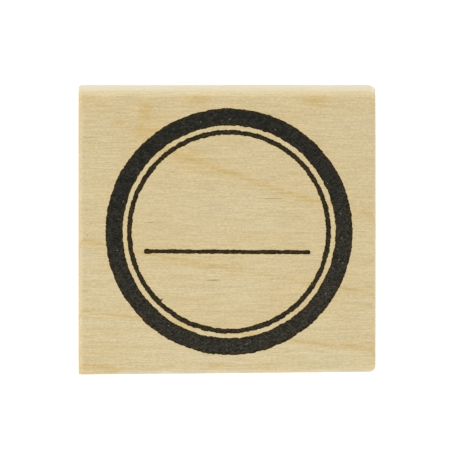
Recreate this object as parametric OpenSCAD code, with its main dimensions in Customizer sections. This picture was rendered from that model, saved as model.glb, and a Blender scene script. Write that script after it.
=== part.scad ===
// Wood-mounted rubber stamp. A moulded rubber die carries the raised design,
// a foam cushion lets it settle on the paper, and a maple block is the grip.
// The block's top shows the same design in ink, right above the die.
// The origin is on the printing plane, under the centre of the block.
// +X runs along the grain, +Y points to the rear and +Z points up.

/* [Block] */
// Width of the block, along the grain
block_w = 50.8; // [47:0.1:80]
// Depth of the block, from front to rear
block_d = 48.6; // [47:0.1:80]
// Height of the block
block_h = 19; // [14:0.5:40]
// Rounding of the top face's edges along the grain, front and rear
top_ease = 0.9; // [0.3:0.05:2.5]
// Rounding of the top face's sawn edges, left and right
end_ease = 0.9; // [0.3:0.05:2.5]
// Rounding of the edges round the bottom face
bottom_ease = 0.4; // [0.2:0.05:1.5]
// Rounding of the four upright corners
corner_ease = 0.3; // [0.2:0.05:4]

/* [Design] */
// Outer diameter of the thick ring
thick_ring_d = 42.25; // [36:0.05:42.5]
// Width of the thick ring's line
thick_stroke = 2.9; // [1.5:0.05:4]
// Space between the thick ring and the thin ring
ring_gap = 0.78; // [0.3:0.02:2]
// Width of the thin ring's line
thin_stroke = 0.82; // [0.3:0.02:1.5]
// Length of the writing line, with its round ends
line_len = 28.5; // [10:0.5:29]
// Width of the writing line
line_stroke = 0.7; // [0.3:0.05:2]
// Distance of the writing line in front of the rings' centre
line_drop = 3.43; // [0:0.01:5]
// Sideways place of the writing line's middle
line_shift = -0.25; // [-1:0.05:1]
// Place of the design on the block, sideways
design_x = 0.35; // [-1:0.05:1]
// Place of the design on the block, to the rear
design_y = 0.3; // [-0.6:0.05:0.6]
// Turn of the design on the block, in degrees
design_turn = -0.35; // [-5:0.05:5]

/* [Die and cushion] */
// Height of the raised design over the die's floor
relief_h = 1.1; // [0.6:0.1:2]
// Thickness of the die's floor
die_floor_t = 1.5; // [0.8:0.1:3]
// Rubber left round the design
die_border = 1.3; // [0.5:0.1:1.6]
// Thickness of the foam cushion
foam_t = 3.2; // [1.5:0.1:6]
// How far the foam stands out past the die
foam_overhang = 0.2; // [0:0.05:0.3]
// Thickness of each adhesive film
film_t = 0.1; // [0.05:0.01:0.3]
// Depth of the ink in the wood
ink_t = 0.05; // [0.03:0.01:0.2]

/* [Hidden] */

$fn = 96;

// Reach of a cutting shape past the face that it cuts
over = 1;
// Depth by which the raised design runs into the die's floor
root = 0.3;

thick_r = thick_ring_d / 2;
thin_r = thick_r - thick_stroke - ring_gap;
die_r = thick_r + die_border;
foam_r = die_r + foam_overhang;

// Heights of the layers, from the printing plane up
die_top = relief_h + die_floor_t;
foam_bottom = die_top + film_t;
foam_top = foam_bottom + foam_t;
block_bottom = foam_top + film_t;
block_top = block_bottom + block_h;

wood_colour = [0.83, 0.75, 0.58];
ink_colour = [0.14, 0.14, 0.13];
film_colour = [0.86, 0.84, 0.76];
foam_colour = [0.72, 0.72, 0.70];
rubber_colour = [0.55, 0.16, 0.12];

// ---- outlines ----

// What rounding takes off a corner whose sides point to +x and +y
module corner_waste(r) {
    difference() {
        square(r + over);
        circle(r);
    }
}

// A rectangle on the x axis with its upper and lower corners rounded
module eased_rectangle(w, h, upper_r, lower_r) {
    difference() {
        translate([-w / 2, 0]) square([w, h]);
        for (side = [0, 1]) mirror([side, 0]) {
            translate([w / 2 - upper_r, h - upper_r]) corner_waste(upper_r);
            translate([w / 2 - lower_r, lower_r]) mirror([0, 1]) corner_waste(lower_r);
        }
    }
}

module ring_outline(outer_r, stroke) {
    difference() {
        circle(outer_r);
        circle(outer_r - stroke);
    }
}

module line_outline() {
    reach = (line_len - line_stroke) / 2;
    translate([line_shift, -line_drop]) {
        square([2 * reach, line_stroke], center = true);
        for (side = [-1, 1]) translate([side * reach, 0]) circle(line_stroke / 2);
    }
}

// ---- places ----

// Where the design sits on the block, at a given height
module at_design(z) {
    translate([design_x, design_y, z]) rotate([0, 0, design_turn]) children();
}

// ---- the wood ----

module block_blank() {
    translate([0, 0, block_bottom]) intersection() {
        rotate([90, 0, 90]) linear_extrude(block_w, center = true)
            eased_rectangle(block_d, block_h, top_ease, bottom_ease);
        rotate([90, 0, 0]) linear_extrude(block_d + over, center = true)
            eased_rectangle(block_w, block_h, end_ease, bottom_ease);
        translate([0, -block_d / 2, -over]) linear_extrude(block_h + 2 * over)
            eased_rectangle(block_w, block_d, corner_ease, corner_ease);
    }
}

module wood_block() {
    color(wood_colour) difference() {
        block_blank();
        at_design(block_top - ink_t) {
            linear_extrude(ink_t + over) ring_outline(thick_r, thick_stroke);
            linear_extrude(ink_t + over) ring_outline(thin_r, thin_stroke);
            linear_extrude(ink_t + over) line_outline();
        }
    }
}

// ---- the index print, as ink soaked into the top face ----

module index_outer_ring() {
    color(ink_colour) at_design(block_top - ink_t)
        linear_extrude(ink_t) ring_outline(thick_r, thick_stroke);
}

module index_inner_ring() {
    color(ink_colour) at_design(block_top - ink_t)
        linear_extrude(ink_t) ring_outline(thin_r, thin_stroke);
}

module index_writing_line() {
    color(ink_colour) at_design(block_top - ink_t)
        linear_extrude(ink_t) line_outline();
}

// ---- the cushion and its two adhesive films ----

module disc(z, r, t) {
    at_design(z) cylinder(r = r, h = t);
}

module block_adhesive() {
    color(film_colour) disc(foam_top, foam_r, film_t);
}

module foam_cushion() {
    color(foam_colour) disc(foam_bottom, foam_r, foam_t);
}

module die_adhesive() {
    color(film_colour) disc(die_top, die_r, film_t);
}

// ---- the die, moulded in one piece ----

module rubber_die() {
    color(rubber_colour) {
        disc(relief_h, die_r, die_floor_t);
        at_design(0) {
            linear_extrude(relief_h + root) ring_outline(thick_r, thick_stroke);
            linear_extrude(relief_h + root) ring_outline(thin_r, thin_stroke);
            linear_extrude(relief_h + root) line_outline();
        }
    }
}

wood_block();
index_outer_ring();
index_inner_ring();
index_writing_line();
block_adhesive();
foam_cushion();
die_adhesive();
rubber_die();
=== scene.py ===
"""The looks of a wood-mounted rubber stamp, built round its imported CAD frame.

Shapes are worked out in millimetres, in the frame's own axes, and piece() turns them into
metres. +X runs along the wood's grain, +Y points to the rear and +Z points up. The block,
the ink, the films, the foam and the die are all meshes made here.
"""

import itertools
import math

import bmesh
import bpy
import numpy as np
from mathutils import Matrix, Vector
from mathutils.geometry import tessellate_polygon


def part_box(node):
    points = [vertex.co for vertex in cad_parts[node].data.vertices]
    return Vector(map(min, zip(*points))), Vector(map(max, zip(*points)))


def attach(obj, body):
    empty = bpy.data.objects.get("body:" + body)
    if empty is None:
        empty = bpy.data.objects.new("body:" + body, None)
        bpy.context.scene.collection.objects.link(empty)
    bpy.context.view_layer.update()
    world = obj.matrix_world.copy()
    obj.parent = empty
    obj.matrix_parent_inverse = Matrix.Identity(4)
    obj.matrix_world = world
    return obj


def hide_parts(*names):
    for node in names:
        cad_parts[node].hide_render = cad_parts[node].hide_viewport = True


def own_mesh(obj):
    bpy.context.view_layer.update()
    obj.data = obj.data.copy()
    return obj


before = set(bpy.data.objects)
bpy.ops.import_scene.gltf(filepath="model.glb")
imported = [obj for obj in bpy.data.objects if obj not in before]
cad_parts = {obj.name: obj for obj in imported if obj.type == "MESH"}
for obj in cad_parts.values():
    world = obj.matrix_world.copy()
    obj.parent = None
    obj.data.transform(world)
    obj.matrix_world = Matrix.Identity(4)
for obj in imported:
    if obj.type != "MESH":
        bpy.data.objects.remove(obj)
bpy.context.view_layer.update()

MM = 0.001


def box_mm(node):
    """The lowest and highest corner of a CAD node, in millimetres."""
    low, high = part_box(node)
    return np.array(low) / MM, np.array(high) / MM


# ---- driving sizes, in millimetres ----

BLOCK_LOW, BLOCK_HIGH = box_mm("wood_block")
BLOCK_W, BLOCK_D, BLOCK_H = BLOCK_HIGH - BLOCK_LOW
TOP = BLOCK_HIGH[2]
BOTTOM = BLOCK_LOW[2]

# Sanded edges along the grain, over and under
TOP_EASE = 0.9
BOTTOM_EASE = 0.4
# How far an edge is sanded flat, along the grain and across it: 0 is round, 1 a chamfer
LONG_FLAT = 0.6
END_FLAT = 0.3
# Passes of sandpaper that soften the edges' corners
SAND_PASSES = 40
# The front face isn't quite parallel with the rear one
FRONT_SKEW = 0.5
# How far the wood's skin lies inside the CAD block, so that the ink can lie on it, and how
# far its fibres and the wear of hands change that
SKIN_DEPTH = 0.03
FIBRE_RELIEF = 0.008
HAND_WEAR = 0.012
# How many of those fibres and hollows there are in a millimetre, along X, Y and Z
FIBRES = (0.25, 2.2, 2.2)
HAND_HOLLOWS = (0.5, 0.7, 0.7)
# Radius to which each edge of the sawn ends is worn, at the left end and at the right one
TOP_WEAR = {-1: 0.9, 1: 0.5}
BOTTOM_WEAR = {-1: 0.4, 1: 0.4}
FRONT_WEAR = {-1: 0.15, 1: 0.85}
REAR_WEAR = {-1: 0.45, 1: 1.05}
DEEPEST_WEAR = 1.05
# How much that wear comes and goes, as a share of it
WEAR_UNEVEN = 0.15
# Within this distance of its corners, the outline of a sawn end is shifted by wear unbent
CORNER_REACH = 2.0

# Spacing of the block's points: along its fine outline, where it bends, and where it is flat
FINE_STEP = 0.04
BEND_STEP = 0.12
FLAT_STEP = 0.4

# The printed design: a thick ring, a thin ring and a writing line
RING_LOW, RING_HIGH = box_mm("index_outer_ring")
DESIGN_X, DESIGN_Y = (RING_LOW + RING_HIGH)[:2] / 2
THICK_R = (RING_HIGH - RING_LOW)[0] / 2
THICK_STROKE = 2.9
THIN_LOW, THIN_HIGH = box_mm("index_inner_ring")
THIN_R = (THIN_HIGH - THIN_LOW)[0] / 2
THIN_STROKE = 0.82
LINE_LOW, LINE_HIGH = box_mm("index_writing_line")
LINE_X, LINE_Y = (LINE_LOW + LINE_HIGH)[:2] / 2
LINE_LEN = 28.5
LINE_STROKE = 0.7
LINE_TURN = math.radians(-0.35)
# The line's left end, where the ink gathered: how much wider it is, and for how far
LINE_BLOB = 0.07
LINE_BLOB_LEN = 0.6
# Bumps in a millimetre of the line's edge
LINE_BUMPS = 1.9
# How deep the ink reaches under the top face, and how far its edges stray
INK_DEPTH = 0.07
INK_ROUGHNESS = 0.073
# A ring's stroke is thicker by this much where the pad pressed harder, about so many times
# in a turn
STROKE_SWELL = 0.05
SWELL_WAVES = 2.5
# How many bumps and how many fine teeth there are round a ring's edge
EDGE_WAVES = 130
EDGE_TEETH = 450
# How far ink ran inwards from the thin ring: x, y from the design's middle, and the half
# width of such a spur
INK_SPURS = [(-11.3, -11.4), (-9.2, -13.7), (14.0, -8.7)]
SPUR_HALF_WIDTH = 0.12

# The die, the cushion and the films
DIE_LOW, DIE_HIGH = box_mm("rubber_die")
DIE_R = (DIE_HIGH - DIE_LOW)[0] / 2
DIE_TOP = DIE_HIGH[2]
FOAM_LOW, FOAM_HIGH = box_mm("foam_cushion")
FOAM_R = (FOAM_HIGH - FOAM_LOW)[0] / 2
FOAM_BOTTOM = FOAM_LOW[2]
FOAM_TOP = FOAM_HIGH[2]
# Height of the raised design, and how far its edges stray
RELIEF_H = 1.1
DIE_ROUGHNESS = 0.03
# How far a hand's trimming strays inside the CAD outline, to either side of its mean, and
# about how many times in a turn
TRIM_STRAY = 0.16
TRIM_WAVES = 9
# How far a film's rim is drawn in at its upper and lower face
FILM_EASE = 0.03
# How far the foam's side is drawn in half way up
FOAM_WAIST = 0.14
# The foam's cut cells, coarse and fine: (cells in a millimetre, depth)
FOAM_CELLS = [(3.2, 0.08), (6.5, 0.05)]

# Seeds of the random shapes. The print and the die share those of the rings and the line
WEAR_SEED = 5
FIBRE_SEED = 11
HAND_SEED = 21
TRIM_SEED = 31
FOAM_SEED = 41
LINE_SEED = 61
THICK_SEED = 71
THIN_SEED = 91

# How many points go once round each shape, and how many rows of them go up the foam
INK_POINTS = 1800
LINE_POINTS = 700
FILM_POINTS = 360
FOAM_POINTS = 1100
FOAM_ROWS = 24
DIE_POINTS = 1080

TURN = 2 * math.pi


# ---- smooth random values ----

NOISE_CELLS = 64


def soft_noise(points, seed):
    """Smooth random values from -1 to 1 at (n, 3) points, on a lattice of unit cells."""
    table = np.random.default_rng(seed).uniform(-1, 1, (NOISE_CELLS,) * 3)
    cell = np.floor(points).astype(int)
    part = points - cell
    part = part * part * (3 - 2 * part)
    total = np.zeros(len(points))
    for corner in itertools.product((0, 1), repeat=3):
        share = np.prod(np.where(corner, part, 1 - part), axis=1)
        total += share * table[tuple((cell + corner).T % NOISE_CELLS)]
    return total


def layered_noise(points, seed, layers=3):
    """soft_noise at several sizes, each half as large and half as strong as the last."""
    return sum(soft_noise(points * 2**k, seed + k) / 2**k for k in range(layers))


def round_noise(angles, seed, waves, layers=2):
    """Smooth random values round a circle, with about so many waves in a turn."""
    radius = waves / TURN
    ring = np.stack([np.cos(angles), np.sin(angles), np.zeros_like(angles)], axis=1)
    return layered_noise(ring * radius + NOISE_CELLS / 2, seed, layers)


# ---- mesh making ----


def angles_round(count):
    """So many angles, evenly spaced round a circle."""
    return np.linspace(0, TURN, count, endpoint=False)


def lofted(loops, joined=False):
    """Points and quads of a skin over closed loops that all have as many points.

    When joined, the last loop is also tied to the first one.
    """
    count, size = loops.shape[:2]
    index = np.arange(count * size).reshape(count, size)
    if joined:
        index = np.vstack([index, index[:1]])
    near, far = index[:-1], index[1:]
    quads = np.stack([near, np.roll(near, -1, 1), np.roll(far, -1, 1), far], axis=-1)
    return loops.reshape(-1, 3), quads.reshape(-1, 4).tolist()


def capped(loops):
    """A closed solid over loops, with a flat face on the first loop and on the last."""
    points, faces = lofted(loops)
    size = loops.shape[1]
    faces.append(list(range(size))[::-1])
    faces.append(list(range(len(points) - size, len(points))))
    return points, faces


def filled(outline, holes=()):
    """Triangles that fill a flat outline round its holes, as places in all their points."""
    rims = [[Vector(p) for p in rim] for rim in (outline, *holes)]
    return [list(t) for t in tessellate_polygon(rims)]


def piece(name, shape, body, node, material, sharp=40):
    """Makes one piece from points in millimetres and faces, and ties it to the frame.

    A shape may have a third part: how brown its ink is at each point, from 0 to 1.
    """
    points, faces, *rim = shape
    mesh = bpy.data.meshes.new(name)
    mesh.from_pydata((np.asarray(points) * MM).tolist(), [], faces)
    made = bmesh.new()
    made.from_mesh(mesh)
    bmesh.ops.recalc_face_normals(made, faces=made.faces)
    made.to_mesh(mesh)
    made.free()
    if rim:
        mesh.attributes.new("rim", "FLOAT", "POINT").data.foreach_set("value", rim[0])
    mesh.shade_smooth()
    mesh.set_sharp_from_angle(angle=math.radians(sharp))
    mesh.materials.append(material)
    thing = bpy.data.objects.new(name, mesh)
    bpy.context.scene.collection.objects.link(thing)
    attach(thing, body)
    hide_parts(node)
    return thing


# ---- the wood block ----


def arc(centre, radius, start, end, step=0.05):
    """Points along an arc, from one angle in degrees to another."""
    a, b = math.radians(start), math.radians(end)
    count = max(4, int(abs(b - a) * radius / step))
    angles = np.linspace(a, b, count)
    return np.stack([np.cos(angles), np.sin(angles)], axis=1) * radius + centre


def section_half():
    """The rear half of the block's cross section, from bottom to top, as (y, z)."""
    half = BLOCK_D / 2
    foot = arc((half - BOTTOM_EASE, BOTTOM_EASE), BOTTOM_EASE, -90, 0)
    brow = arc((half - TOP_EASE, BLOCK_H - TOP_EASE), TOP_EASE, 0, 90)
    chord = np.linspace(brow[0], brow[-1], len(brow))
    return np.vstack([foot, brow + (chord - brow) * LONG_FLAT])


def along(points, spacing):
    """Points every so far along a closed outline."""
    closed = np.vstack([points, points[:1]])
    run = np.concatenate([[0], np.cumsum(np.linalg.norm(np.diff(closed, axis=0), axis=1))])
    stops = np.linspace(0, run[-1], int(run[-1] / spacing), endpoint=False)
    return np.stack([np.interp(stops, run, closed[:, k]) for k in (0, 1)], axis=1)


def sanded(points, passes):
    """Softens an outline's corners, a little more with each pass."""
    for _ in range(passes):
        points = (np.roll(points, 1, 0) + 2 * points + np.roll(points, -1, 0)) / 4
    return points


def outward(points):
    """The outward direction at each point of a closed outline that runs anticlockwise."""
    step = np.roll(points, -1, 0) - np.roll(points, 1, 0)
    step /= np.linalg.norm(step, axis=1)[:, None]
    return np.stack([step[:, 1], -step[:, 0]], axis=1)


def section_outline():
    """The block's cross section as (y, z), and the way out of it at each point."""
    rear = section_half()
    front = rear[::-1] * (-1, 1)
    fine = sanded(along(np.vstack([rear, front]), FINE_STEP), SAND_PASSES)
    way = outward(fine)
    # The points stand closer together where the outline bends
    bend = np.linalg.norm(np.roll(way, -3, 0) - np.roll(way, 3, 0), axis=1)
    spacing = np.clip(FLAT_STEP - bend, BEND_STEP, FLAT_STEP)
    run = np.concatenate([[0], np.cumsum(FINE_STEP / spacing)])
    stops = np.linspace(0, run[-1], int(run[-1]), endpoint=False)
    at = (np.searchsorted(run, stops, side="right") - 1) % len(fine)
    return fine[at], way[at]


def lost(radius, depth):
    """How far a worn edge lies in from its side, at a depth in from the sawn end."""
    missing = max(radius - depth, 0)
    rounded = radius - math.sqrt(radius**2 - missing**2)
    return rounded + (missing - rounded) * END_FLAT


def drawn_in(outline, side, depth):
    """The cross section at a depth in from a sawn end, where worn edges make it smaller."""
    middle = np.array([0, BLOCK_H / 2])
    reach = np.array([BLOCK_D / 2, BLOCK_H / 2]) - CORNER_REACH
    share = np.clip((outline - middle) / reach, -1, 1)
    front, rear = lost(FRONT_WEAR[side], depth), lost(REAR_WEAR[side], depth)
    bottom, top = lost(BOTTOM_WEAR[side], depth), lost(TOP_WEAR[side], depth)
    wear_y = np.where(share[:, 0] < 0, front, rear)
    wear_z = np.where(share[:, 1] < 0, bottom, top)
    uneven = 1 + WEAR_UNEVEN * soft_noise(np.insert(outline, 2, 0, axis=1), WEAR_SEED)
    return outline - share * np.stack([wear_y, wear_z], axis=1) * uneven[:, None]


def stations(close=12):
    """How far each of the block's rings of points is from its left sawn end."""
    # They stand closer together near both ends, where wear rounds the edges
    near = DEEPEST_WEAR * (1 - np.cos(np.linspace(0, math.pi / 2, close)))
    middle = np.linspace(near[-1], BLOCK_W - near[-1], int(BLOCK_W / FLAT_STEP))[1:-1]
    return np.concatenate([near, middle, (BLOCK_W - near)[::-1]])


def block_ring(outline, station):
    """The block's cross section at a distance from its left sawn end, in place."""
    side = -1 if station < BLOCK_W / 2 else 1
    ring = drawn_in(outline, side, min(station, BLOCK_W - station))
    skew = FRONT_SKEW * station / BLOCK_W * (0.5 - ring[:, 0] / BLOCK_D)
    x = np.full(len(ring), station - BLOCK_W / 2)
    return np.stack([x, ring[:, 0] + skew, ring[:, 1] + BOTTOM], axis=1)


def skin_depth(points):
    """How far the wood's skin lies in at each point: its fibres and hands shaped it."""
    fibres = FIBRE_RELIEF * layered_noise(points * FIBRES, FIBRE_SEED)
    wear = HAND_WEAR * soft_noise(points * HAND_HOLLOWS, HAND_SEED)
    return np.clip(SKIN_DEPTH + fibres + wear, 0, None)


def sawn_end(rim, rings=14):
    """Loops that close a sawn end, from its rim in to the line down its middle."""
    half = BLOCK_D / 2 - BLOCK_H / 2
    spine = rim.copy()
    spine[:, 1] = np.clip(rim[:, 1], -half, half)
    spine[:, 2] = rim[:, 2].mean()
    # The last loop stops just short of the line, so that no two points meet
    shares = np.linspace(0, 0.98, rings)[1:, None, None]
    return rim + (spine - rim) * shares


def block_shape():
    """The block as rings of points along the grain, closed by its two sawn ends."""
    outline, way = section_outline()
    loops = np.stack([block_ring(outline, station) for station in stations()])
    depth = skin_depth(loops.reshape(-1, 3)).reshape(loops.shape[:2])
    loops = loops - np.insert(way, 0, 0, axis=1) * depth[..., None]
    return capped(np.concatenate([sawn_end(loops[0])[::-1], loops, sawn_end(loops[-1])]))


# ---- the design, in ink and in rubber ----


def ragged(angles, seed):
    """How far an edge strays at each angle, in bumps and in fine teeth."""
    return round_noise(angles, seed, EDGE_WAVES) + round_noise(angles, seed, EDGE_TEETH, 1)


def ring_edges(outer_r, stroke, seed, angles, roughness):
    """The uneven outer and inner radius of a ring at each angle."""
    outer = outer_r + roughness * ragged(angles, seed)
    inner = outer_r - stroke + roughness * ragged(angles, seed + 5)
    return outer, inner - STROKE_SWELL * round_noise(angles, seed + 9, SWELL_WAVES, 1)


def at_radius(radius, angles, height):
    """Points round the design's centre."""
    x = DESIGN_X + radius * np.cos(angles)
    y = DESIGN_Y + radius * np.sin(angles)
    return np.stack([x, y, np.broadcast_to(float(height), x.shape)], axis=-1)


def line_walk(reach, half):
    """The points round the writing line: how far along its middle, and which way out."""
    corners = np.cumsum([0, 2 * reach, math.pi * half, 2 * reach, math.pi * half])
    run = np.linspace(0, corners[-1], LINE_POINTS, endpoint=False)
    middle = np.interp(run, corners, [-reach, reach, reach, -reach, -reach])
    turn = np.interp(run, corners, np.radians([-90, -90, 90, 90, 270]))
    return middle, turn


def line_loop(grown, height, roughness):
    """The writing line's uneven outline at a height, grown outwards by so much."""
    reach = (LINE_LEN - LINE_STROKE) / 2
    half = LINE_STROKE / 2
    middle, turn = line_walk(reach, half)
    sample = np.stack([middle, np.sin(turn) * half, np.cos(turn) * half], axis=1)
    rough = roughness * layered_noise(sample * LINE_BUMPS + NOISE_CELLS / 2, LINE_SEED)
    blob = LINE_BLOB * np.exp(-(((middle + reach) / LINE_BLOB_LEN) ** 2))
    width = half + blob + rough + grown
    x = middle + width * np.cos(turn)
    y = width * np.sin(turn)
    turned_x = LINE_X + x * math.cos(LINE_TURN) - y * math.sin(LINE_TURN)
    turned_y = LINE_Y + x * math.sin(LINE_TURN) + y * math.cos(LINE_TURN)
    return np.stack([turned_x, turned_y, np.full_like(x, height)], axis=1)


# The ink's edge, where it is brown: (distance in from the edge, depth under the top)
INK_EDGE = [(0, INK_DEPTH), (0, 0.02), (0.06, 0.004), (0.16, 0)]
# A ring's core, where the ink is black: (distance in from the edge, how brown it still is)
THICK_CORE = (0.55, 0.0)
THIN_CORE = (0.28, 0.75)


def ring_print(outer_r, stroke, seed, core, spurs=()):
    """A ring of ink lying in the wood's top, as loops that go once round its section."""
    angles = angles_round(INK_POINTS)
    outer, inner = ring_edges(outer_r, stroke, seed, angles, INK_ROUGHNESS)
    for x, y in spurs:
        # A spur is ink that ran in from the ring's inner edge to this point
        turn = np.abs(np.angle(np.exp(1j * (angles - math.atan2(y, x)))))
        reach = inner - math.hypot(x, y)
        inner = inner - reach * np.exp(-((turn * inner / SPUR_HALF_WIDTH) ** 2))
    core_inset, core_brown = core
    edge = INK_EDGE + [(core_inset, 0)]
    section = [at_radius(outer - d, angles, TOP - h) for d, h in edge]
    section += [at_radius(inner + d, angles, TOP - h) for d, h in edge[::-1]]
    points, faces = lofted(np.stack(section), joined=True)
    brown = [1.0] * len(INK_EDGE) + [core_brown]
    return points, faces, np.repeat(brown + brown[::-1], len(angles))


def line_print():
    """The writing line's ink, from its underside up to its face, all as brown as a rim."""
    loops = np.stack([line_loop(-d, TOP - h, INK_ROUGHNESS) for d, h in INK_EDGE])
    points, faces = capped(loops)
    return points, faces, np.ones(len(points))


# ---- the cushion, the films and the die ----


def trimmed(radius, angles):
    """The hand-trimmed outline that the rubber, the films and the foam share."""
    return radius - TRIM_STRAY * (1 + round_noise(angles, TRIM_SEED, TRIM_WAVES))


def disc(radius, profile):
    """A closed disc whose edge follows a profile of (distance in from the trim, z)."""
    angles = angles_round(FILM_POINTS)
    edge = trimmed(radius, angles)
    return capped(np.stack([at_radius(edge - inset, angles, z) for inset, z in profile]))


def film(radius, low, high):
    """An adhesive film between two heights."""
    return disc(radius, [(FILM_EASE, low), (0, (low + high) / 2), (FILM_EASE, high)])


def foam_shape():
    """The foam disc, with a side that a knife cut through the cells."""
    angles = angles_round(FOAM_POINTS)
    edge = trimmed(FOAM_R, angles)
    heights = np.linspace(FOAM_BOTTOM, FOAM_TOP, FOAM_ROWS)
    side = np.stack([at_radius(edge, angles, z) for z in heights]).reshape(-1, 3)
    rise = (side[:, 2] - FOAM_BOTTOM) / (FOAM_TOP - FOAM_BOTTOM)
    inset = FOAM_WAIST * np.sin(np.clip(rise, 0, 1) * math.pi)
    for seed, (scale, depth) in enumerate(FOAM_CELLS, start=FOAM_SEED):
        inset = inset + depth * np.clip(soft_noise(side * scale, seed), 0, 1)
    inset = inset.reshape(FOAM_ROWS, FOAM_POINTS)
    return capped(np.stack([at_radius(edge - i, angles, z) for i, z in zip(inset, heights)]))


# The flank of raised rubber: (distance out from the printed edge, height)
FLANK = [
    (-0.03, 0),
    (0.02, 0.04),
    (0.2, RELIEF_H - 0.12),
    (0.28, RELIEF_H - 0.03),
    (0.42, RELIEF_H),
]
# The flanks of the narrow slot between the rings, where the mould didn't reach the floor
SLOT_FLANK = [(-0.03, 0), (0.02, 0.04), (0.14, 0.5), (0.2, 0.56)]
# The die's trimmed side: (distance in from the trim, height)
DIE_SIDE = [
    (0.04, DIE_TOP),
    (0, DIE_TOP - 0.06),
    (0.07, (DIE_TOP + RELIEF_H) / 2),
    (0.1, RELIEF_H + 0.08),
    (0.16, RELIEF_H),
]


def die_loops(angles):
    """Loops from the die's upper rim, round its side and over both rings, to its floor."""
    edge = trimmed(DIE_R, angles)
    thick_out, thick_in = ring_edges(THICK_R, THICK_STROKE, THICK_SEED, angles, DIE_ROUGHNESS)
    thin_out, thin_in = ring_edges(THIN_R, THIN_STROKE, THIN_SEED, angles, DIE_ROUGHNESS)
    loops = [at_radius(edge - inset, angles, z) for inset, z in DIE_SIDE]
    loops += [at_radius(thick_out + d, angles, z) for d, z in FLANK[::-1]]
    loops += [at_radius(thick_in - d, angles, z) for d, z in SLOT_FLANK]
    loops += [at_radius(thin_out + d, angles, z) for d, z in SLOT_FLANK[::-1]]
    loops += [at_radius(thin_in - d, angles, z) for d, z in FLANK]
    return np.stack(loops)


def die_shape():
    """The moulded rubber: a trimmed floor whose underside carries the rings and the line."""
    angles = angles_round(DIE_POINTS)
    loops = die_loops(angles)
    points, faces = lofted(loops)
    faces.append(list(range(DIE_POINTS))[::-1])
    ridge = np.stack([line_loop(d, z, DIE_ROUGHNESS) for d, z in FLANK[::-1]])
    ridge_points, ridge_faces = lofted(ridge)
    start = len(points)
    faces += [[start + v for v in face] for face in ridge_faces]
    faces.append([start + len(ridge_points) - LINE_POINTS + v for v in range(LINE_POINTS)])
    # The flat floor inside the thin ring, round the foot of the writing line
    places = list(range(start - DIE_POINTS, start + LINE_POINTS))
    for triangle in filled(loops[-1], [ridge[0]]):
        faces.append([places[v] for v in triangle])
    return np.vstack([points, ridge_points]), faces


# ---- materials ----


def srgb(red, green, blue):
    """A colour given as 0 to 255 values on a screen, as the linear values Blender uses."""

    def linear(v):
        v /= 255
        return v / 12.92 if v <= 0.04045 else ((v + 0.055) / 1.055) ** 2.4

    return tuple(linear(v) for v in (red, green, blue)) + (1.0,)


class Recipe:
    """Short calls for the nodes that a material or the sky is made of."""

    def __init__(self, owner, last_node):
        owner.use_nodes = True
        self.owner = owner
        self.tree = owner.node_tree
        self.last = self.tree.nodes[last_node]

    def fix(self, **values):
        """Sets constant values on the last node's own sockets."""
        for socket, value in values.items():
            self.last.inputs[socket.replace("_", " ")].default_value = value

    def node(self, kind, inputs, out=0, **settings):
        """Adds a node and gives its output. An input is a value or another node's output."""
        made = self.tree.nodes.new(kind)
        for key, value in settings.items():
            setattr(made, key, value)
        for key, value in inputs.items():
            if isinstance(value, bpy.types.NodeSocket):
                self.tree.links.new(value, made.inputs[key])
            else:
                made.inputs[key].default_value = value
        return made.outputs[out]

    def place(self):
        """Where a point is in the frame, in millimetres."""
        spot = self.node("ShaderNodeTexCoord", {}, out="Object")
        return self.node("ShaderNodeVectorMath", {0: spot, "Scale": 1 / MM}, operation="SCALE")

    def scaled(self, vector, factors):
        """A vector with each of its parts multiplied by a factor."""
        return self.node("ShaderNodeVectorMath", {0: vector, 1: factors}, operation="MULTIPLY")

    def plus(self, a, b):
        return self.node("ShaderNodeVectorMath", {0: a, 1: b}, operation="ADD")

    def minus(self, a, b):
        return self.node("ShaderNodeVectorMath", {0: a, 1: b}, operation="SUBTRACT")

    def noise(self, vector, scale=1.0, detail=2.0, roughness=0.5, out="Fac"):
        inputs = {"Vector": vector, "Scale": scale, "Detail": detail, "Roughness": roughness}
        return self.node("ShaderNodeTexNoise", inputs, out=out)

    def range(self, value, low, high, to_low=0.0, to_high=1.0):
        """A value eased from one range to another, and held at its ends."""
        inputs = {0: value, 1: low, 2: high, 3: to_low, 4: to_high}
        return self.node("ShaderNodeMapRange", inputs, interpolation_type="SMOOTHSTEP")

    def math(self, operation, a, b=0.0):
        return self.node("ShaderNodeMath", {0: a, 1: b}, operation=operation)

    def mix(self, share, a, b, blend="MIX"):
        inputs = {0: share, 6: a, 7: b}
        return self.node("ShaderNodeMix", inputs, out=2, data_type="RGBA", blend_type=blend)

    def tinted(self, colour, red, green, blue):
        """A colour whose three parts are multiplied."""
        return self.mix(1.0, colour, (red, green, blue, 1), "MULTIPLY")

    def part(self, vector, axis):
        """The X, Y or Z of a vector."""
        return self.node("ShaderNodeSeparateXYZ", {0: vector}, out=axis)

    def length(self, vector):
        return self.node("ShaderNodeVectorMath", {0: vector}, out="Value", operation="LENGTH")

    def spot(self, vector, centre, half_size):
        """A soft mark, 1 in its middle and 0 at its rim."""
        inputs = {"Vector": vector, "Location": centre, "Scale": half_size}
        inside = self.node("ShaderNodeMapping", inputs, vector_type="TEXTURE")
        return self.range(self.length(inside), 0.0, 1.0, 1.0, 0.0)

    def bump(self, height):
        """Fine relief from a height in millimetres."""
        return self.node("ShaderNodeBump", {"Height": height, "Distance": MM})

    def set(self, socket, value):
        """Ties a node's output to a socket of the last node."""
        self.tree.links.new(value, self.last.inputs[socket])


def surface(name, **values):
    """The recipe of a new material, with these values on its shader."""
    recipe = Recipe(bpy.data.materials.new(name), "Principled BSDF")
    recipe.fix(**values)
    return recipe


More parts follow.
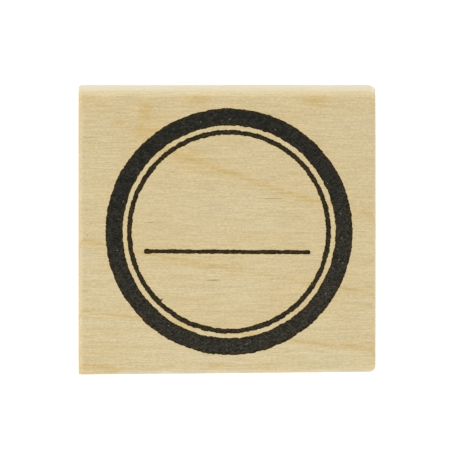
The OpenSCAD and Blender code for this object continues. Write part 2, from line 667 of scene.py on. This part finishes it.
# Golden stains on the top face: x, y, half length, half width, strength
GOLDEN_STAINS = [
    (-5.0, 22.9, 3.6, 1.1, 0.9),
    (15.0, 22.7, 3.8, 1.6, 0.9),
    (20.9, 17.9, 1.8, 0.5, 0.5),
    (-17.2, 14.2, 1.8, 0.5, 0.6),
    (13.4, 8.4, 2.2, 0.4, 0.5),
    (1.3, -6.2, 3.6, 1.9, 0.6),
    (-6.0, -7.6, 6.0, 0.7, 0.4),
    (-22.6, -22.7, 3.2, 0.6, 0.7),
    (-1.8, -22.7, 2.2, 0.7, 0.6),
    (-9.5, -22.8, 1.4, 0.5, 0.4),
    (-14.0, 21.0, 1.7, 2.8, 1.0),
    (-14.6, 17.4, 1.8, 2.2, 1.0),
    (-12.6, 17.8, 1.8, 1.1, 0.8),
    (-18.5, 19.0, 1.9, 1.0, 0.8),
    (-7.0, 13.2, 4.6, 2.2, 0.9),
    (20.9, -19.2, 3.0, 0.6, 0.8),
    (-24.0, -9.6, 1.2, 1.0, 0.5),
    (8.5, -11.5, 10.0, 5.5, 0.35),
    (-12.5, 19.0, 5.5, 4.0, 0.3),
    (-20.5, -4.5, 6.0, 5.0, 0.25),
    (-3.5, 11.5, 6.0, 3.0, 0.25),
]

# Where a year line fades out: x, y, half length, half width, strength
FADED = [
    (-20.5, 20.5, 13.0, 10.0, 1.0),
    (4.0, -7.5, 18.0, 4.0, 0.4),
    (23.5, -3.0, 5.0, 11.0, 0.5),
]

# Dark flecks on the top face: x, y, half length, half width, strength
DARK_FLECKS = [
    (7.6, 6.0, 3.2, 0.15, 0.55),
    (-2.3, -8.0, 2.0, 0.17, 0.75),
    (-13.1, 1.9, 1.2, 0.15, 0.55),
    (11.9, 8.2, 0.7, 0.12, 0.4),
    (-23.8, -0.3, 0.16, 0.16, 0.9),
    (7.8, -4.5, 0.5, 0.12, 0.5),
    (21.8, 1.4, 0.5, 0.12, 0.4),
    (-20.2, 12.2, 1.0, 0.12, 0.4),
    (-9.3, 10.5, 0.8, 0.12, 0.3),
    (-23.3, 16.5, 1.8, 0.14, 0.4),
]

# The block was sawn from a log whose heart ran far under it, a little askew. These give the
# heart's (y, z) at mid length, its rise along X, the distance from it at which one year
# ended, and a year's growth.
HEART = (27.0, -105.0)
HEART_RISE = 0.045
YEAR_END = 131.1
YEAR = 3.05
# Where the saw's axle stood when the ends were cut: (y, z), and the spacing and depth of
# the marks that the saw left
SAW_AXLE = (-70.0, -120.0)
SAW_STEP = 0.6
SAW_DEPTH = 0.02
# Spacing and depth of the marks that the planer's knives left across the planed sides
KNIFE_STEP = 1.1
KNIFE_DEPTH = 0.006
# Height of the finest fibres
HAIR_DEPTH = 0.02


def added(r, marks):
    """The sum of soft marks, each with its strength."""
    total = 0.0
    for mark, strength in marks:
        total = r.math("ADD", r.math("MULTIPLY", mark, strength), total)
    return r.math("MINIMUM", total, 1.0)


def top_marks(r, place, rows, depth):
    """Marks this deep in the top face, from rows of x, y, half length, half width, strength."""
    marks = [
        (r.spot(place, (x, y, TOP), (length, width, depth)), strength)
        for x, y, length, width, strength in rows
    ]
    return added(r, marks)


def from_axis(r, place, axis):
    """The (y, z) offset of a point from an axis that runs along X, and its distance."""
    offset = r.plus(r.scaled(place, (0, 1, 1)), (0, -axis[0], -axis[1]))
    return offset, r.length(offset)


def growth(r, grain):
    """How far through its year's growth each point of the wood is, from 0 to 1."""
    _, distance = from_axis(r, grain, HEART)
    rise = r.math("MULTIPLY", r.part(grain, "X"), HEART_RISE)
    grown = r.math("SUBTRACT", r.math("SUBTRACT", distance, rise), YEAR_END)
    return r.math("FRACT", r.math("DIVIDE", grown, YEAR))


def end_grain(r, place, grain, colour, late):
    """Recolours a sawn end: year lines, rays from the heart and the cut ends of the pores."""
    offset, distance = from_axis(r, grain, HEART)
    turn = r.math("ARCTAN2", r.part(offset, "Y"), r.part(offset, "Z"))
    fan = {0: r.math("MULTIPLY", turn, 130.0), 1: r.math("MULTIPLY", distance, 0.12)}
    rays = r.noise(r.node("ShaderNodeCombineXYZ", fan), scale=3.5, detail=3, roughness=0.6)
    pores = r.node("ShaderNodeTexVoronoi", {"Vector": place, "Scale": 4.5}, out="Distance")
    colour = r.tinted(colour, 0.92, 0.88, 0.81)
    colour = r.mix(r.math("MULTIPLY", late, 0.55), colour, srgb(172, 140, 94))
    colour = r.mix(1.0, colour, r.range(rays, 0.3, 0.7, 0.94, 1.05), "MULTIPLY")
    return r.mix(r.range(pores, 0.05, 0.3, 0.4, 0.0), colour, srgb(140, 112, 74))


def maple_relief(r, place, hairs, ends, sides):
    """The height of the wood's surface in millimetres: fibres, saw marks and knife marks."""
    _, from_saw = from_axis(r, place, SAW_AXLE)
    saw = r.math("SINE", r.math("MULTIPLY", from_saw, TURN / SAW_STEP))
    knife = r.math("SINE", r.math("MULTIPLY", r.part(place, "X"), TURN / KNIFE_STEP))
    patchy = r.noise(place, scale=0.25)
    saw = r.math("MULTIPLY", saw, r.math("MULTIPLY", ends, SAW_DEPTH))
    knife = r.math("MULTIPLY", knife, r.math("MULTIPLY", sides, KNIFE_DEPTH))
    cuts = r.math("MULTIPLY", patchy, r.math("ADD", saw, knife))
    return r.math("ADD", r.math("MULTIPLY", hairs, HAIR_DEPTH), cuts)


def faces_of_wood(r):
    """Where the sawn ends, the planed sides and the sanded edges are, each from 0 to 1."""
    facing = r.node("ShaderNodeNewGeometry", {}, out="Normal")
    facing = r.node("ShaderNodeVectorMath", {0: facing}, operation="ABSOLUTE")
    x, y, z = (r.part(facing, axis) for axis in "XYZ")
    ends = r.range(x, 0.6, 0.95)
    sides = r.math("MULTIPLY", r.range(y, 0.3, 0.7), r.range(z, 0.15, 0.6, 1.0, 0.0))
    flattest = r.math("MAXIMUM", x, r.math("MAXIMUM", y, z))
    edges = r.range(flattest, 0.8, 0.97, 1.0, 0.0)
    return ends, sides, edges


def golden_wood(r, grain, year, late, streaks):
    """How golden the wood is: in its year lines, in a haze round them and in its stains."""
    haze = r.range(r.math("ABSOLUTE", r.math("SUBTRACT", year, 0.5)), 0.4, 0.5, 0.0, 0.4)
    lines = r.math("MAXIMUM", haze, late)
    lines = r.math("MULTIPLY", lines, r.range(streaks, 0.3, 0.55, 0.55, 1.0))
    kept = r.math("SUBTRACT", 1.0, top_marks(r, grain, FADED, 9.0))
    lines = r.math("MULTIPLY", lines, kept)
    return r.math("MAXIMUM", lines, top_marks(r, grain, GOLDEN_STAINS, 2.0))


def ground_colour(r, place, grain, year, streaks):
    """The wood's colour without its lines: paler in front as painted light, in bands and in
    broad patches.
    """
    broad = r.noise(r.scaled(grain, (0.05, 0.09, 0.09)), detail=3)
    # Painted light: the top is paler towards the front and darker towards the rear, as if lit
    # more from the front
    painted_light_falloff = r.range(r.part(place, "Y"), -24.0, 24.0)
    colour = r.mix(painted_light_falloff, srgb(214, 197, 156), srgb(208, 190, 147))
    colour = r.mix(r.range(year, 0.2, 1.0, 0.0, 0.35), colour, srgb(207, 185, 136))
    colour = r.mix(r.range(broad, 0.35, 0.65, 0.0, 0.45), colour, srgb(210, 187, 135))
    return r.mix(r.range(streaks, 0.4, 0.75, 0.0, 0.5), colour, srgb(205, 183, 132))


def painted_shade_and_sheen(r, place, colour, sides, edges):
    """Paints shade and light on the planed sides, and a sheen on the sanded edges."""
    # The sides are quarter sawn. Painted shade darkens them, most of all near the top, and near
    # the bottom they are painted paler and whiter, as light from the floor. Painted sheen makes
    # the sanded edges pale and whitish
    painted_shade_height = r.range(r.part(place, "Z"), BOTTOM, TOP)
    side = r.mix(painted_shade_height, r.tinted(colour, 0.92, 0.96, 0.98), r.tinted(colour, 0.79, 0.78, 0.63))
    colour = r.mix(sides, colour, side)
    return r.mix(edges, colour, r.tinted(colour, 1.03, 1.05, 1.12))


def maple_material():
    """Flat-sawn maple: year lines wander over the top, and cross the sawn ends as arcs."""
    r = surface("maple", Sheen_Weight=0.3, Sheen_Roughness=0.4)
    place = r.place()
    sway = r.minus(r.noise(r.scaled(place, (0.05, 0.2, 0.2)), out="Color"), (0.5, 0.5, 0.5))
    grain = r.plus(place, r.scaled(sway, (0, 0.8, 0.8)))
    hairs = r.noise(r.scaled(grain, (1.9, 7.5, 7.5)), detail=2, roughness=0.65)
    fibre = r.noise(r.scaled(grain, (0.22, 4.2, 4.2)), detail=3, roughness=0.6)
    streaks = r.noise(r.scaled(grain, (0.07, 1.0, 1.0)), detail=3)
    year = growth(r, r.plus(place, r.scaled(sway, (0, 0.06, 0.06))))
    late = r.math("MULTIPLY", r.range(year, 0.93, 0.985), r.range(year, 0.985, 1.0, 1.0, 0.0))
    ends, sides, edges = faces_of_wood(r)

    colour = ground_colour(r, place, grain, year, streaks)
    golden = golden_wood(r, grain, year, late, streaks)
    golden = r.math("MULTIPLY", golden, r.range(fibre, 0.3, 0.6, 0.36, 0.74))
    colour = r.mix(golden, colour, srgb(203, 170, 100))
    pale = r.tinted(colour, 1.09, 1.12, 1.19)
    dark = r.tinted(colour, 0.91, 0.88, 0.81)
    colour = r.mix(r.range(hairs, 0.3, 0.7), pale, dark)
    colour = r.mix(1.0, colour, r.range(fibre, 0.25, 0.75, 1.09, 0.91), "MULTIPLY")
    colour = r.mix(top_marks(r, place, DARK_FLECKS, 0.5), colour, srgb(114, 90, 42))
    colour = r.mix(ends, colour, end_grain(r, place, grain, colour, late))
    r.set("Base Color", painted_shade_and_sheen(r, place, colour, sides, edges))
    r.set("Roughness", r.range(fibre, 0.3, 0.7, 0.48, 0.62))
    r.set("Normal", r.bump(maple_relief(r, place, hairs, ends, sides)))
    return r.owner


# Half size of a pinhole in the thick ring's ink, and how much of the wood shows through it
PINHOLE_SIZE = (0.2, 0.14, 0.5)
PINHOLE_STRENGTH = 0.5
# Where the pinholes are: x, y
PINHOLES = [
    (8.3, 17.8),
    (-4.5, 19.1),
    (19.1, -4.5),
    (18.1, -6.0),
    (18.9, -2.7),
    (19.8, -5.0),
    (19.4, 3.4),
    (19.6, -0.8),
    (17.2, 8.6),
    (-17.7, 5.5),
    (0.5, 19.6),
    (16.9, -10.3),
    (-10.0, -15.8),
    (3.4, -18.9),
    (-18.7, -2.9),
]


def ink_material():
    """Ink that sank into the fibres: brown at its rim, and thinner towards the front."""
    r = surface("index_ink", Roughness=0.6, Specular_IOR_Level=0.12)
    place = r.place()
    rim = r.node("ShaderNodeAttribute", {}, out="Fac", attribute_name="rim")
    blots = r.noise(place, scale=1.1, detail=3, roughness=0.6)
    specks = r.noise(place, scale=4.0, detail=1)
    grains = r.noise(r.scaled(place, (3.0, 5.5, 5.5)), detail=2, roughness=0.7)
    slope = {0: place, 1: (0.4, -1.25, 0)}
    down = r.node("ShaderNodeVectorMath", slope, out="Value", operation="DOT_PRODUCT")
    thin = r.range(down, -28.0, 30.0)
    colour = r.mix(thin, srgb(38, 38, 31), srgb(62, 58, 47))
    colour = r.mix(r.range(blots, 0.42, 0.68, 0.0, 0.4), colour, srgb(74, 71, 62))
    bare = r.math("MULTIPLY", r.range(specks, 0.55, 0.75), r.range(thin, 0.0, 1.0, 0.2, 0.65))
    colour = r.mix(bare, colour, srgb(92, 88, 78))
    colour = r.mix(r.math("MULTIPLY", rim, 0.9), colour, srgb(66, 50, 12))
    colour = r.mix(r.range(grains, 0.38, 0.62, 0.0, 0.95), colour, srgb(14, 13, 8))
    holes = [(r.spot(place, (x, y, TOP), PINHOLE_SIZE), PINHOLE_STRENGTH) for x, y in PINHOLES]
    colour = r.mix(added(r, holes), colour, srgb(170, 160, 130))
    r.set("Base Color", colour)
    r.set("Normal", r.bump(r.math("MULTIPLY", grains, 0.03)))
    return r.owner


def film_material():
    """Adhesive film seen edge on, with a little dust caught by its glue."""
    r = surface("adhesive_film", Roughness=0.35)
    mottle = r.noise(r.place(), scale=2.0, detail=3)
    r.set("Base Color", r.mix(mottle, srgb(226, 221, 202), srgb(204, 196, 168)))
    r.set("Normal", r.bump(r.math("MULTIPLY", mottle, 0.05)))
    return r.owner


def foam_material():
    """Closed-cell foam, whose knife-cut side shows the cells."""
    r = surface("foam", Roughness=0.85, Specular_IOR_Level=0.3)
    place = r.place()
    cells = r.node("ShaderNodeTexVoronoi", {"Vector": place, "Scale": 3.2}, out="Distance")
    small = r.node("ShaderNodeTexVoronoi", {"Vector": place, "Scale": 7.0}, out="Distance")
    depth = r.math("ADD", cells, r.math("MULTIPLY", small, 0.5))
    # Painted shade: the cells' hollows, where the bump sinks the surface, are darker
    colour = r.mix(r.range(depth, 0.2, 0.9), srgb(168, 168, 164), srgb(203, 203, 199))
    r.set("Base Color", colour)
    r.set("Normal", r.bump(r.math("MULTIPLY", depth, 0.1)))
    return r.owner


def rubber_material():
    """Red vulcanised rubber with a little of the chalk that it was moulded with."""
    r = surface("red_rubber", Roughness=0.62, Specular_IOR_Level=0.35)
    place = r.place()
    mottle = r.noise(place, scale=0.5, detail=4, roughness=0.6)
    chalk = r.noise(place, scale=1.7, detail=5, roughness=0.7)
    skin = r.noise(place, scale=8.0, detail=3)
    colour = r.mix(r.range(mottle, 0.3, 0.7), srgb(150, 48, 38), srgb(132, 38, 32))
    colour = r.mix(r.range(chalk, 0.55, 0.8, 0.0, 0.25), colour, srgb(196, 132, 120))
    r.set("Base Color", colour)
    r.set("Roughness", r.range(mottle, 0.3, 0.7, 0.55, 0.7))
    r.set("Normal", r.bump(r.math("MULTIPLY", skin, 0.03)))
    return r.owner


# ---- the pieces ----


def build_pieces():
    """Makes the eight pieces, one for each CAD node."""
    ink = ink_material()
    tape = film_material()
    piece("maple_grip", block_shape(), "block", "wood_block", maple_material())
    thick = ring_print(THICK_R, THICK_STROKE, THICK_SEED, THICK_CORE)
    piece("thick_ring_print", thick, "block", "index_outer_ring", ink)
    thin = ring_print(THIN_R, THIN_STROKE, THIN_SEED, THIN_CORE, INK_SPURS)
    piece("thin_ring_print", thin, "block", "index_inner_ring", ink)
    piece("writing_line_print", line_print(), "block", "index_writing_line", ink)
    upper = film(FOAM_R, FOAM_TOP, BOTTOM)
    piece("upper_film", upper, "block", "block_adhesive", tape)
    lower = film(DIE_R, DIE_TOP, FOAM_BOTTOM)
    piece("lower_film", lower, "die", "die_adhesive", tape)
    foam = piece("cushion", foam_shape(), "block", "foam_cushion", foam_material())
    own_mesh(foam)
    piece("die", die_shape(), "die", "rubber_die", rubber_material())


# ---- floor, light and camera ----


def make_floor():
    """A wide white floor that glows a little, so that it stays pure white in the picture."""
    mesh = bpy.data.meshes.new("floor")
    far = 6.0
    corners = [(-far, -far, 0), (far, -far, 0), (far, far, 0), (-far, far, 0)]
    mesh.from_pydata(corners, [], [(0, 1, 2, 3)])
    floor = bpy.data.objects.new("floor", mesh)
    bpy.context.scene.collection.objects.link(floor)
    r = surface("floor", Roughness=0.9, Specular_IOR_Level=0.0)
    r.fix(Base_Color=(0.9, 0.9, 0.9, 1), Emission_Color=(1, 1, 1, 1), Emission_Strength=0.45)
    mesh.materials.append(r.owner)


def area_light(name, place, size, watts):
    """A soft box that points at the block."""
    data = bpy.data.lights.new(name, "AREA")
    data.shape = "DISK"
    data.size = size
    data.energy = watts
    lamp = bpy.data.objects.new(name, data)
    lamp.location = place
    aim = Vector((0, 0, TOP * MM)) - Vector(place)
    lamp.rotation_euler = aim.to_track_quat("-Z", "Y").to_euler()
    lamp.visible_camera = False
    bpy.context.scene.collection.objects.link(lamp)


def make_light():
    """A white tent, brighter low down than overhead, and two soft boxes at the left."""
    world = bpy.data.worlds.new("studio")
    sky = Recipe(world, "Background")
    direction = sky.node("ShaderNodeTexCoord", {}, out="Generated")
    height = sky.node("ShaderNodeSeparateXYZ", {0: direction}, out="Z")
    sky.set("Strength", sky.range(height, 0.0, 0.8, 1.2, 0.77))
    sky.fix(Color=(1, 1, 1, 1))
    bpy.context.scene.world = world
    area_light("front", (-0.25, -0.35, 0.45), 0.35, 0.3)
    area_light("rear", (-0.2, 0.35, 0.45), 0.35, 0.6)


def make_camera():
    """A flat view from above, tipped a little over the rear edge."""
    tilt = math.radians(3.72)
    distance = 0.5
    view_width = 78.63 * MM
    aim = np.array([0.52, 0.6, TOP]) * MM
    data = bpy.data.cameras.new("camera")
    data.type = "ORTHO"
    data.ortho_scale = view_width
    camera = bpy.data.objects.new("camera", data)
    back = np.array([0, math.sin(tilt), math.cos(tilt)]) * distance
    camera.location = aim + back
    camera.rotation_euler = (-tilt, 0, 0)
    bpy.context.scene.collection.objects.link(camera)
    bpy.context.scene.camera = camera


build_pieces()
make_floor()
make_light()
make_camera()
bpy.context.scene.view_settings.view_transform = "Standard"
